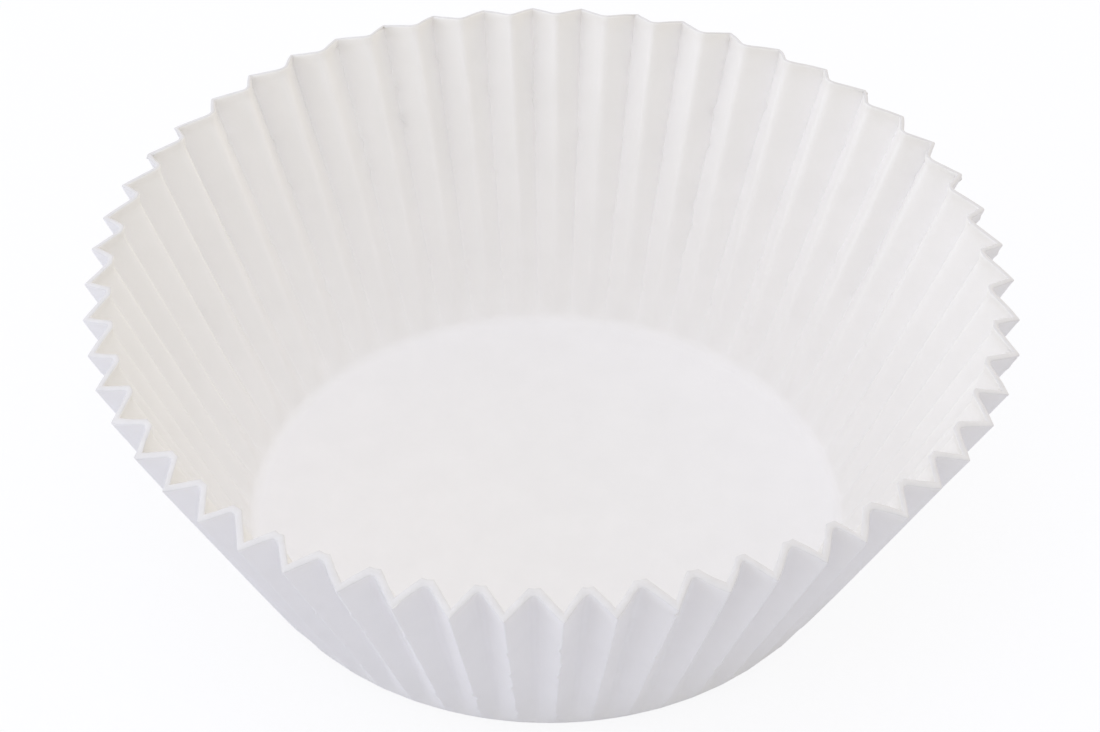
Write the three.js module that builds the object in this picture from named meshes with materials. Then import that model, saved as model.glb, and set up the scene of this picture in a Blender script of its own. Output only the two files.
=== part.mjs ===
// A white paper cupcake liner. It is one round sheet of paper, pressed between fluted dies: the middle
// stays flat as the base, and the rest is gathered into pleats and stands up as a flared wall.
// Millimetres, +Z up. The origin is the middle of the base's underside.
import * as THREE from "three";
import { mergeVertices } from "three/addons/utils/BufferGeometryUtils.js";

// Sizes that set the liner
const BASE_DIAMETER = 50; // across the base, to the corner where floor and wall would meet if it were sharp
const WALL_LENGTH = 28; // paper from that corner up the slope to the cut rim
const WALL_LEAN = 26; // degrees that the wall leans out from upright
const PLEAT_WIDTH = 6.14; // paper from crest to crest, measured along the cut rim
const PAPER = 0.1; // thickness of the sheet
const CORNER_RADIUS = 1.6; // bend between floor and wall, at the middle of the paper
const CREST_ROUNDING = 0.06; // share of a pleat's side that bends into its crest, which is a sharp crease
const VALLEY_ROUNDING = 0.28; // share of a pleat's side that bends into its valley, which is softer

// Rows of faces round the corner and up the slope
const CORNER_STEPS = 2;
const WALL_STEPS = 5;

// The middle of the paper, seen as a section through the axis. The line runs flat from the axis to the
// corner, round it, and straight up the slope. Pleats stand equally to both sides of this line.
const turn = THREE.MathUtils.degToRad(90 - WALL_LEAN);
const cornerSetback = CORNER_RADIUS * Math.tan(turn / 2);
const floorRadius = BASE_DIAMETER / 2 - cornerSetback;
const cornerLength = CORNER_RADIUS * turn;
const slopeLength = WALL_LENGTH - cornerSetback;

// The round sheet that the liner is pressed from, whose cut edge becomes the rim, and its whole pleats
const sheetRadius = floorRadius + cornerLength + slopeLength;
const pleats = Math.round((2 * Math.PI * sheetRadius) / PLEAT_WIDTH);

// Radius, height and direction of the section line where the paper reaches a given way from the axis
function sectionAt(along) {
  const pastFloor = Math.max(along - floorRadius, 0);
  const pastCorner = Math.max(pastFloor - cornerLength, 0);
  const angle = Math.min(pastFloor / CORNER_RADIUS, turn);
  return {
    angle,
    radius:
      Math.min(along, floorRadius) + CORNER_RADIUS * Math.sin(angle) + pastCorner * Math.cos(angle),
    height: PAPER / 2 + CORNER_RADIUS * (1 - Math.cos(angle)) + pastCorner * Math.sin(angle),
  };
}

// The paper can't shrink. A ring of the flat sheet is as long round as it was, so once the wall has drawn
// it in to a smaller radius, the spare length stands up as pleats. This is the height from valley to crest.
function pleatDepth(along, radius) {
  const side = (Math.PI * along) / pleats;
  const halfPitch = (Math.PI * radius) / pleats;
  return Math.sqrt(Math.max(side ** 2 - halfPitch ** 2, 0));
}

// Six lines of points for each pleat: three round the crest and three round the valley. Each one gives its
// place as a share of the half pitch past the crest, its height from -1 in the valley to 1 on the crest, and
// the slope there. A fold is rounded by a parabola that leaves each flat side smoothly.
const LINES_PER_PLEAT = 6;
const flatSlope = 2 / (1 - (CREST_ROUNDING + VALLEY_ROUNDING) / 2);
function foldLine(line) {
  const up = line < 3 ? 1 : -1;
  const rounding = line < 3 ? CREST_ROUNDING : VALLEY_ROUNDING;
  const side = (line % 3) - 1;
  return {
    share: (line < 3 ? 0 : 1) + side * rounding,
    height: up * (1 - (Math.abs(side) * flatSlope * rounding) / 2),
    slope: -up * side * flatSlope,
  };
}

// A point on one face of the paper. Face 1 is the outside of the wall and -1 the inside.
function pointOnPaper(along, column, face) {
  const { angle, radius, height } = sectionAt(along);
  const pleat = Math.floor(column / LINES_PER_PLEAT);
  const depth = pleatDepth(along, radius);
  const fold = foldLine(column % LINES_PER_PLEAT);
  const halfPitch = Math.PI / pleats;
  const around = (2 * pleat + fold.share) * halfPitch;

  // Square to the sheet: partly across the section line, partly round the liner, as the pleat's side slopes
  const tilt = Math.atan((fold.slope * depth) / 2 / (halfPitch * radius));
  const across = (fold.height * depth) / 2 + (face * PAPER * Math.cos(tilt)) / 2;
  const sideways = (-face * PAPER * Math.sin(tilt)) / 2;

  const r = radius + across * Math.sin(angle);
  return new THREE.Vector3(
    r * Math.cos(around) - sideways * Math.sin(around),
    r * Math.sin(around) + sideways * Math.cos(around),
    height - across * Math.cos(angle),
  );
}

// Ways along the paper at which rings of points are placed: the axis, the floor's edge, the corner, and up
// the slope with closer rings low down, where the pleats deepen fastest
function ringPlaces() {
  const places = [0];
  for (let i = 0; i <= CORNER_STEPS; i++) {
    places.push(floorRadius + (cornerLength * i) / CORNER_STEPS);
  }
  for (let i = 1; i <= WALL_STEPS; i++) {
    places.push(floorRadius + cornerLength + slopeLength * (i / WALL_STEPS) ** 1.6);
  }
  return places;
}

// The skin is turned round the axis from a profile that goes out along the underside, up the outside, over
// the cut edge and back down the inside. Then every ring is drawn in to its pleats.
function linerGeometry() {
  const places = ringPlaces();
  const stops = [
    ...places.map((along) => ({ along, face: 1 })),
    ...[...places].reverse().map((along) => ({ along, face: -1 })),
  ];
  const profile = stops.map(({ along, face }) => {
    const { angle, radius, height } = sectionAt(along);
    const out = (face * PAPER) / 2;
    return new THREE.Vector2(radius + out * Math.sin(angle), height - out * Math.cos(angle));
  });
  const columns = pleats * LINES_PER_PLEAT;
  const skin = new THREE.LatheGeometry(profile, columns);
  const position = skin.getAttribute("position");
  for (let column = 0; column <= columns; column++) {
    stops.forEach(({ along, face }, row) => {
      const point =
        along === 0
          ? new THREE.Vector3(0, 0, PAPER / 2 - (face * PAPER) / 2)
          : pointOnPaper(along, column % columns, face);
      position.setXYZ(column * stops.length + row, point.x, point.y, point.z);
    });
  }
  skin.deleteAttribute("normal");
  skin.deleteAttribute("uv");
  const merged = mergeVertices(skin, 1e-4);
  merged.computeVertexNormals();
  return merged;
}

const paper = new THREE.MeshStandardMaterial({
  color: new THREE.Color(0.9, 0.89, 0.905),
  roughness: 0.85,
  metalness: 0,
  side: THREE.DoubleSide,
});

const liner = new THREE.Mesh(linerGeometry(), paper);
liner.name = "liner";

const part = new THREE.Group();
part.add(liner);

export default part;
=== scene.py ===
import math

import bpy
import numpy as np
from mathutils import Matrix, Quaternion, Vector


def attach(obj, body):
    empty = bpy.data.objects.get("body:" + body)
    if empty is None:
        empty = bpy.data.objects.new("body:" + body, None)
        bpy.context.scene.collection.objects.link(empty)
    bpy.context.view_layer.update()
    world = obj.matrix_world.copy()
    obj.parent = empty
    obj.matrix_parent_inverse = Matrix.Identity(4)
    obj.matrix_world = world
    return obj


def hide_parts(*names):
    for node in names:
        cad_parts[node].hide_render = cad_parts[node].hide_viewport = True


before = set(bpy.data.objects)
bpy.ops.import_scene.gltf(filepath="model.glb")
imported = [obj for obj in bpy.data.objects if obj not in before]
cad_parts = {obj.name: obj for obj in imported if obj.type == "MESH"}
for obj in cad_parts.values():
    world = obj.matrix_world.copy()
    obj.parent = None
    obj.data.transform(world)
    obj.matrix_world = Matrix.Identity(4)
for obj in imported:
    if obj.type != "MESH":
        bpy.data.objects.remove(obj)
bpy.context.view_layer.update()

# The sheet: one round of bleached baking paper, pressed between a fluted punch and die. The middle stays
# flat as the base, and the rest stands up as a flared wall. The paper that the smaller radius has no room
# for goes into pleats, with sharp creases on the outside and softer folds on the inside.
PLEATS = 54
BASE_RADIUS = 0.025  # to the corner where floor and wall would meet if it were sharp
WALL_LENGTH = 0.028  # paper from that corner up the slope to the cut edge
WALL_LEAN = math.radians(26)  # outwards from upright
CORNER_RADIUS = 0.0012  # bend between floor and wall
SHEET = 0.0001  # thickness of the paper

turn = math.pi / 2 - WALL_LEAN
setback = CORNER_RADIUS * math.tan(turn / 2)
floor_radius = BASE_RADIUS - setback
corner_length = CORNER_RADIUS * turn
slope_start = floor_radius + corner_length
sheet_radius = slope_start + WALL_LENGTH - setback

# Rings of points, as ways along the paper from the middle of the base. They are close together round the
# corner, and closest just before the cut edge.
FLOOR_RING_SHARES = (0.4, 0.85)
CORNER_RINGS = 7
SLOPE_RINGS = 43
SLOPE_RINGS_END = 0.0009  # short of the cut edge
EDGE_RINGS = (0.0006, 0.0004, 0.00024, 0.00012, 0.00005, 0.0)  # short of the cut edge
floor_rings = floor_radius * np.array(FLOOR_RING_SHARES)
corner_rings = np.linspace(floor_radius, slope_start, CORNER_RINGS)
slope_rings = np.linspace(slope_start, sheet_radius - SLOPE_RINGS_END, SLOPE_RINGS + 1)[1:]
edge_rings = sheet_radius - np.array(EDGE_RINGS)
along = np.concatenate([floor_rings, corner_rings, slope_rings, edge_rings])

# At each ring, how far the paper has bent up, the radius and height of its middle, and how far up the
# slope it is, from 0 at the corner to 1 at the cut edge
past_floor = np.clip(along - floor_radius, 0, None)
past_corner = np.clip(along - slope_start, 0, None)
bend = np.minimum(past_floor / CORNER_RADIUS, turn)
ring_radius = np.minimum(along, floor_radius) + CORNER_RADIUS * np.sin(bend) + past_corner * np.cos(bend)
ring_height = SHEET / 2 + CORNER_RADIUS * (1 - np.cos(bend)) + past_corner * np.sin(bend)
rise = past_corner / (sheet_radius - slope_start)

# A ring of the flat sheet keeps its length, so its spare length sets how deep the pleats are there. The
# die irons the pleats out of the corner itself, so they start part way round it.
IRONED_SHARE = 0.35  # of the corner, with no pleats at all
PLEATS_GROW = 0.0025  # paper past there over which they reach their depth
grown = np.clip((along - floor_radius - IRONED_SHARE * corner_length) / PLEATS_GROW, 0, 1)
pleat_depth = math.pi / PLEATS * np.sqrt(np.clip(along ** 2 - ring_radius ** 2, 0, None))
pleat_depth = pleat_depth * grown ** 2 * (3 - 2 * grown)

# Points across half a pleat, from a crest to the next valley and from a valley to the next crest, close
# together where the paper bends
CREST_ROUNDING = 0.06  # share of a pleat's side that bends into its crest
VALLEY_ROUNDING = 0.22  # share that bends into its valley
down_steps = np.array([0.0, 0.03, 0.07, 0.31, 0.55, 0.78, 0.9])
up_steps = 1 - np.append(1.0, down_steps[:0:-1])
flat_slope = 2 / (1 - (CREST_ROUNDING + VALLEY_ROUNDING) / 2)


def fold_height(share, inside):
    """Height of a face between a crest, at share 0 and height 1, and a valley, at share 1 and height -1.

    The crest is rounded on the outside, where the paper is stretched, and closes to a sharp line inside.
    """
    from_valley = 1 - share
    if share < CREST_ROUNDING and not inside:
        return 1 - flat_slope * share ** 2 / (2 * CREST_ROUNDING)
    if from_valley < VALLEY_ROUNDING:
        return -1 + flat_slope * from_valley ** 2 / (2 * VALLEY_ROUNDING)
    return 1 - flat_slope * (share - CREST_ROUNDING / 2)


# The pleats wander: the sheet sat a little off centre in the die, and each fold, which is a crest or a
# valley, has its own small error in place and in depth. The die holds the folds truer at their foot.
DRIFT = ((1, -1.08, 0.46), (2, -0.44, 0.0), (3, -0.32, 0.21))  # waves round, degrees of cosine and sine
FOLD_ERROR = math.radians(0.22)
DEPTH_ERROR = 0.07
ERROR_AT_FOOT = 0.4  # share of the error in place
chance = np.random.default_rng(seed=54)
fold_count = 2 * PLEATS
fold_pitch = 2 * math.pi / fold_count
fold_angle = np.arange(fold_count) * 2 * math.pi / fold_count
drift = np.zeros(fold_count)
for waves, cosine, sine in DRIFT:
    drift += cosine * np.cos(waves * fold_angle) + sine * np.sin(waves * fold_angle)
fold_error = np.radians(drift) + FOLD_ERROR * chance.normal(size=fold_count)
fold_depth = 1 + DEPTH_ERROR * chance.normal(size=fold_count)
error_share = ERROR_AT_FOOT + (1 - ERROR_AT_FOOT) * rise

# The wall leans in and out a little round the rim, in one smooth closed wave made of a few harmonics
LEAN_ERROR = 0.00022  # root mean square at the rim
LEAN_HARMONICS = range(2, 10)
LEAN_GROWTH = 1.5  # power of its growth up the slope
columns_per_fold = len(down_steps)
columns = fold_count * columns_per_fold
column_angle = np.arange(columns) * 2 * math.pi / columns
lean_wave = np.zeros(columns)
for harmonic in LEAN_HARMONICS:
    strength = chance.normal()
    phase = chance.uniform(0, 2 * math.pi)
    lean_wave += strength * np.cos(harmonic * column_angle + phase)
lean_error = LEAN_ERROR * lean_wave / lean_wave.std()
lean_share = rise ** LEAN_GROWTH

# The die's ribs drag along the creases, which run a little unsteadily and have small nicks, where they jog
# aside. The creases are still clean at their foot.
UNSTEADY = 0.000012
UNSTEADY_RINGS = 9
NICK = 0.00018
NICK_SHARE = 0.06  # of all points on the creases
CLEAN_FOOT = 0.002
CREASE_REACH = 2 * CREST_ROUNDING  # share of a pleat's side that jogs with its crease
random_walk = np.cumsum(chance.normal(size=(len(along), PLEATS)), axis=0)
average = np.ones(UNSTEADY_RINGS) / UNSTEADY_RINGS
smoothed_walk = np.array([np.convolve(walk, average, mode="same") for walk in random_walk.T]).T
nicks = chance.choice([0.0, 1.0], size=random_walk.shape, p=[1 - NICK_SHARE, NICK_SHARE])
nicks = nicks * chance.choice([-1.0, 1.0], size=nicks.shape)
crease_jog = UNSTEADY * (random_walk - smoothed_walk) + NICK * nicks
crease_jog = crease_jog * np.minimum(1, past_corner / CLEAN_FOOT)[:, None]

# The die cuts a thick pile of sheets at once and bruises their edges, so the paper swells towards its cut
# edge, and more in front than behind. It swells inwards only, because the outside lies against the die.
CUT_EDGE = 0.00045  # thickness of the swollen paper, on average
CUT_EDGE_UNEVEN = 0.4  # share more in front and less behind
CUT_EDGE_REACH = 0.0006  # paper over which the swelling fades
thickness_at_edge = CUT_EDGE * (1 - CUT_EDGE_UNEVEN * np.sin(column_angle))
swollen_share = np.exp(-((sheet_radius - along) / CUT_EDGE_REACH) ** 2)

# Every point of the paper's two faces, fold by fold
outer_face = np.zeros((len(along), columns, 3))
inner_face = np.zeros((len(along), columns, 3))
flat_tilt = flat_slope * pleat_depth / 2 / (math.pi / PLEATS * ring_radius)
for fold in range(fold_count):
    is_crest = fold % 2 == 0
    following = (fold + 1) % fold_count
    nearest_crest = (fold if is_crest else following) // 2
    start = fold_angle[fold] + fold_error[fold] * error_share
    end = fold_angle[fold] + fold_pitch + fold_error[following] * error_share
    for place, step in enumerate(down_steps if is_crest else up_steps):
        column = fold * columns_per_fold + place
        from_crest = step if is_crest else 1 - step
        deep = fold_depth[fold] * (1 - step) + fold_depth[following] * step
        half_depth = pleat_depth / 2 * (1 + (deep - 1) * rise)
        swelling = (thickness_at_edge[column] - SHEET) * swollen_share
        around = start + (end - start) * step
        if from_crest < CREASE_REACH:
            around = around + crease_jog[:, nearest_crest] / ring_radius

        # A pleat's side stands askew, so straight through the wall it is thicker than the sheet
        askew = min(1.0, (1 - from_crest) / VALLEY_ROUNDING)
        through = np.sqrt(1 + (flat_tilt * askew) ** 2)
        for face, inside, offset in (
            (outer_face, False, SHEET / 2),
            (inner_face, True, -SHEET / 2 - swelling),
        ):
            across = fold_height(from_crest, inside) * half_depth + lean_error[column] * lean_share
            across = across + offset * through
            out = ring_radius + across * np.sin(bend)
            face[:, column, 0] = out * np.cos(around)
            face[:, column, 1] = out * np.sin(around)
            face[:, column, 2] = ring_height - across * np.cos(bend)

# The bruised cut edge is rounded over, from the outer face's last ring to the inner face's, and stands up
# a little on the line of the outer face
CUT_EDGE_BULGE = 0.0001
CUT_EDGE_RINGS = (0.12, 0.5, 0.88)  # shares of the way over
upward = outer_face[-1] - outer_face[-3]
upward = upward / np.linalg.norm(upward, axis=1, keepdims=True)
cut_edge = np.array([
    outer_face[-1] * (1 - share) + inner_face[-1] * share
    + upward * CUT_EDGE_BULGE * math.sqrt(1 - (2 * share - 1) ** 2)
    for share in CUT_EDGE_RINGS
])

# The skin runs from the middle of the underside out and up the outer face, over the cut edge, and down the
# inner face to the middle of the floor
rings = np.concatenate([outer_face, cut_edge, inner_face[::-1]])
vertices = [(0.0, 0.0, 0.0), *rings.reshape(-1, 3).tolist(), (0.0, 0.0, SHEET)]
last_ring = 1 + (len(rings) - 1) * columns
faces = []
for column in range(columns):
    beside = (column + 1) % columns
    faces.append((0, 1 + beside, 1 + column))
    for ring in range(len(rings) - 1):
        near = 1 + ring * columns
        far = near + columns
        faces.append((near + column, near + beside, far + beside, far + column))
    faces.append((last_ring + column, last_ring + beside, len(vertices) - 1))
skin = bpy.data.meshes.new("liner_paper")
skin.from_pydata(vertices, [], faces)
skin.polygons.foreach_set("use_smooth", np.ones(len(faces), dtype=bool))


def put_in_scene(name, data):
    """A new object in the scene, made of this mesh, lamp or lens."""
    thing = bpy.data.objects.new(name, data)
    bpy.context.scene.collection.objects.link(thing)
    return thing


liner = put_in_scene("liner_paper", skin)

# The cut edge has a material of its own. Its darker colour is painted shade, for the shade in the pores of
# the bruised cut
strip_of_face = np.tile(np.arange(len(rings) + 1), columns)
on_cut_edge = (strip_of_face >= len(along)) & (strip_of_face <= len(along) + len(cut_edge))
skin.polygons.foreach_set("material_index", on_cut_edge.astype(np.int32))

# Inside the wall, each crest's line is a sharp groove
edge_ends = np.zeros(2 * len(skin.edges), dtype=np.int32)
skin.edges.foreach_get("vertices", edge_ends)
ring_of_end, column_of_end = np.divmod(edge_ends.reshape(-1, 2) - 1, columns)
runs_up = column_of_end[:, 0] == column_of_end[:, 1]
in_groove = column_of_end[:, 0] % (2 * columns_per_fold) == 0
on_inside = ring_of_end.min(axis=1) >= len(along) + len(cut_edge)
skin.edges.foreach_set("use_edge_sharp", runs_up & in_groove & on_inside)

# Both finishes are the same pulp, so they share its fibres: a fine felted grain and faint clouds where the
# fibres lie thicker or thinner
fibres = bpy.data.node_groups.new("paper_fibres", "ShaderNodeTree")
for name in ("Clouds per metre", "Cloud depth", "Grains per metre"):
    fibres.interface.new_socket(name, in_out="INPUT", socket_type="NodeSocketFloat")
fibres.interface.new_socket("Paper colour", in_out="INPUT", socket_type="NodeSocketColor")
fibres.interface.new_socket("Colour", in_out="OUTPUT", socket_type="NodeSocketColor")
fibres.interface.new_socket("Grain", in_out="OUTPUT", socket_type="NodeSocketFloat")
group_in = fibres.nodes.new("NodeGroupInput")
group_out = fibres.nodes.new("NodeGroupOutput")
place_on_object = fibres.nodes.new("ShaderNodeTexCoord")
clouds = fibres.nodes.new("ShaderNodeTexNoise")
clouds.inputs["Detail"].default_value = 3
clouds_to_shade = fibres.nodes.new("ShaderNodeMapRange")
clouds_to_shade.inputs["From Min"].default_value = 0.3
clouds_to_shade.inputs["From Max"].default_value = 0.7
clouds_to_shade.inputs["To Max"].default_value = 1.0
darkest = fibres.nodes.new("ShaderNodeMath")
darkest.operation = "SUBTRACT"
darkest.inputs[0].default_value = 1.0
shade = fibres.nodes.new("ShaderNodeVectorMath")
shade.operation = "SCALE"
grain = fibres.nodes.new("ShaderNodeTexNoise")
grain.inputs["Detail"].default_value = 4
grain.inputs["Roughness"].default_value = 0.65
fibres.links.new(place_on_object.outputs["Object"], clouds.inputs["Vector"])
fibres.links.new(place_on_object.outputs["Object"], grain.inputs["Vector"])
fibres.links.new(group_in.outputs["Clouds per metre"], clouds.inputs["Scale"])
fibres.links.new(group_in.outputs["Grains per metre"], grain.inputs["Scale"])
fibres.links.new(group_in.outputs["Cloud depth"], darkest.inputs[1])
fibres.links.new(clouds.outputs["Fac"], clouds_to_shade.inputs["Value"])
fibres.links.new(darkest.outputs["Value"], clouds_to_shade.inputs["To Min"])
fibres.links.new(group_in.outputs["Paper colour"], shade.inputs[0])
fibres.links.new(clouds_to_shade.outputs["Result"], shade.inputs["Scale"])
fibres.links.new(shade.outputs["Vector"], group_out.inputs["Colour"])
fibres.links.new(grain.outputs["Fac"], group_out.inputs["Grain"])


def paper_finish(name, colour, roughness, clouds_per_metre, cloud_depth, grains_per_metre, grain_height):
    """A finish of the pulp. Cloud depth is a share of the colour, and grain height is in metres."""
    material = bpy.data.materials.new(name)
    material.use_nodes = True
    nodes = material.node_tree.nodes
    links = material.node_tree.links
    shader = nodes["Principled BSDF"]
    shader.inputs["Roughness"].default_value = roughness
    shader.inputs["Specular IOR Level"].default_value = 0.3
    pulp = nodes.new("ShaderNodeGroup")
    pulp.node_tree = fibres
    pulp.inputs["Clouds per metre"].default_value = clouds_per_metre
    pulp.inputs["Cloud depth"].default_value = cloud_depth
    pulp.inputs["Grains per metre"].default_value = grains_per_metre
    pulp.inputs["Paper colour"].default_value = (*colour, 1.0)
    relief = nodes.new("ShaderNodeBump")
    relief.inputs["Distance"].default_value = grain_height
    links.new(pulp.outputs["Colour"], shader.inputs["Base Color"])
    links.new(pulp.outputs["Grain"], relief.inputs["Height"])
    links.new(relief.outputs["Normal"], shader.inputs["Normal"])
    return material


skin.materials.append(paper_finish(
    "baking_paper", colour=(0.903, 0.891, 0.885), roughness=0.75,
    clouds_per_metre=260, cloud_depth=0.02, grains_per_metre=2600, grain_height=0.00002,
))
# The cut edge's darker colour is painted shade, standing in for the shade in its porous cut
skin.materials.append(paper_finish(
    "cut_edge_painted_shade", colour=(0.80, 0.79, 0.80), roughness=0.9,
    clouds_per_metre=900, cloud_depth=0.05, grains_per_metre=5200, grain_height=0.00004,
))
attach(liner, "root")
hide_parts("liner")

# The table: a plain matt pale sheet that runs on past the view. The camera sees it almost at pure white,
# with a faint shadow under the liner, and like a light table it gives the outside some light from below.
TABLE_SIZE = 3.0
TABLE_GAP = 0.00005  # below the liner's base
TABLE_SHADOW = 0.2  # share of the real sheet, with its shadow, in what the camera sees
TABLE_GLOW = 1.06  # brightness of the rest, where 1 is white
TABLE_LIGHT = 0.12  # light that it gives to the liner
half = TABLE_SIZE / 2
corners = [(-half, -half, 0), (half, -half, 0), (half, half, 0), (-half, half, 0)]
table_mesh = bpy.data.meshes.new("table")
table_mesh.from_pydata(corners, [], [(0, 1, 2, 3)])
table = put_in_scene("table", table_mesh)
table.location.z = -TABLE_GAP
table_white = bpy.data.materials.new("table_white")
table_white.use_nodes = True
table_nodes = table_white.node_tree.nodes
matt = table_nodes["Principled BSDF"]
matt.inputs["Base Color"].default_value = (0.60, 0.61, 0.70, 1.0)
matt.inputs["Roughness"].default_value = 0.9
matt.inputs["Emission Strength"].default_value = TABLE_LIGHT
glow = table_nodes.new("ShaderNodeEmission")
glow.inputs["Strength"].default_value = TABLE_GLOW


def show_to_camera(tree, lit, shown, share, surface):
    """Gives a surface two shaders: the lit one, and for the camera a share of the shown one over it.

    The camera's own rays count, and those that reach it by a gloss or through glass.
    """
    ray = tree.nodes.new("ShaderNodeLightPath")
    seen = ray.outputs["Is Camera Ray"]
    for other_way in ("Is Glossy Ray", "Is Transmission Ray"):
        either = tree.nodes.new("ShaderNodeMath")
        either.operation = "MAXIMUM"
        tree.links.new(seen, either.inputs[0])
        tree.links.new(ray.outputs[other_way], either.inputs[1])
        seen = either.outputs["Value"]
    shown_share = tree.nodes.new("ShaderNodeMath")
    shown_share.operation = "MULTIPLY"
    shown_share.inputs[1].default_value = share
    mixed = tree.nodes.new("ShaderNodeMixShader")
    tree.links.new(seen, shown_share.inputs[0])
    tree.links.new(shown_share.outputs["Value"], mixed.inputs["Fac"])
    tree.links.new(lit, mixed.inputs[1])
    tree.links.new(shown, mixed.inputs[2])
    tree.links.new(mixed.outputs["Shader"], surface)


show_to_camera(
    table_white.node_tree, lit=matt.outputs["BSDF"], shown=glow.outputs["Emission"],
    share=1 - TABLE_SHADOW, surface=table_nodes["Material Output"].inputs["Surface"],
)
table_mesh.materials.append(table_white)

# The room: even, faintly warm white light from all round the liner. Past the table the camera sees it as
# pure white.
ROOM_LIGHT = 0.79
room = bpy.data.worlds.new("white_room")
room.use_nodes = True
bpy.context.scene.world = room
room_nodes = room.node_tree.nodes
around_light = room_nodes["Background"]
around_light.inputs["Color"].default_value = (1.0, 0.98, 0.905, 1.0)
around_light.inputs["Strength"].default_value = ROOM_LIGHT
pure_white = room_nodes.new("ShaderNodeBackground")
pure_white.inputs["Color"].default_value = (1.0, 1.0, 1.0, 1.0)
show_to_camera(
    room.node_tree, lit=around_light.outputs["Background"], shown=pure_white.outputs["Background"],
    share=1.0, surface=room_nodes["World Output"].inputs["Surface"],
)

# The lamps: three softboxes, all turned to the liner. A cool one hangs almost overhead, a wide cool one
# stands low on the left and draws the pleats out, and a faint warm one stands behind on the right.
LAMP_DISTANCE = 1.1
SOFTBOXES = (  # name, direction from the liner, width, height, watts and colour
    ("softbox_above", Vector((-0.07, -0.12, 1)), 0.7, 0.7, 2.75, (0.68, 0.725, 1.0)),
    ("softbox_left", Vector((-1, -0.33, 0.32)), 1.4, 0.7, 3.25, (0.775, 0.83, 1.0)),
    ("softbox_right", Vector((1, 0.6, 0.5)), 0.9, 0.7, 0.95, (1.0, 0.78, 0.5)),
)
for name, direction, width, height, power, colour in SOFTBOXES:
    softbox = bpy.data.lights.new(name, "AREA")
    softbox.shape = "RECTANGLE"
    softbox.size = width
    softbox.size_y = height
    softbox.energy = power
    softbox.color = colour
    lamp = put_in_scene(name, softbox)
    lamp.location = direction.normalized() * LAMP_DISTANCE
    lamp.rotation_mode = "QUATERNION"
    lamp.rotation_quaternion = (-lamp.location).to_track_quat("-Z", "Y")

# The camera: a long lens, held in front of the liner and well above it. It is a little to the right of the
# middle, and tilted sideways by less than a degree.
CAMERA_HEIGHT_ANGLE = math.radians(43.48)
CAMERA_SIDE_ANGLE = math.radians(1.49)
CAMERA_DISTANCE = 0.42025
CAMERA_AIM = Vector((0.00015, 0.0, 0.01686))
CAMERA_ROLL = 0.01177  # radians
IMAGE_WIDTH = 1100
FOCAL_PIXELS = 4930.2
lens = bpy.data.cameras.new("camera")
lens.sensor_width = 36
lens.lens = FOCAL_PIXELS / IMAGE_WIDTH * lens.sensor_width
camera = put_in_scene("camera", lens)
level = Vector((0, -math.cos(CAMERA_HEIGHT_ANGLE), math.sin(CAMERA_HEIGHT_ANGLE))) * CAMERA_DISTANCE
side_turn = Quaternion((0, 0, 1), CAMERA_SIDE_ANGLE)
camera.location = side_turn @ level
camera.rotation_mode = "QUATERNION"
look = (CAMERA_AIM - level).to_track_quat("-Z", "Y")
camera.rotation_quaternion = side_turn @ look @ Quaternion((0, 0, 1), CAMERA_ROLL)
bpy.context.scene.camera = camera
bpy.context.scene.view_settings.view_transform = "Standard"

# Bring the scene up to date
bpy.context.view_layer.update()
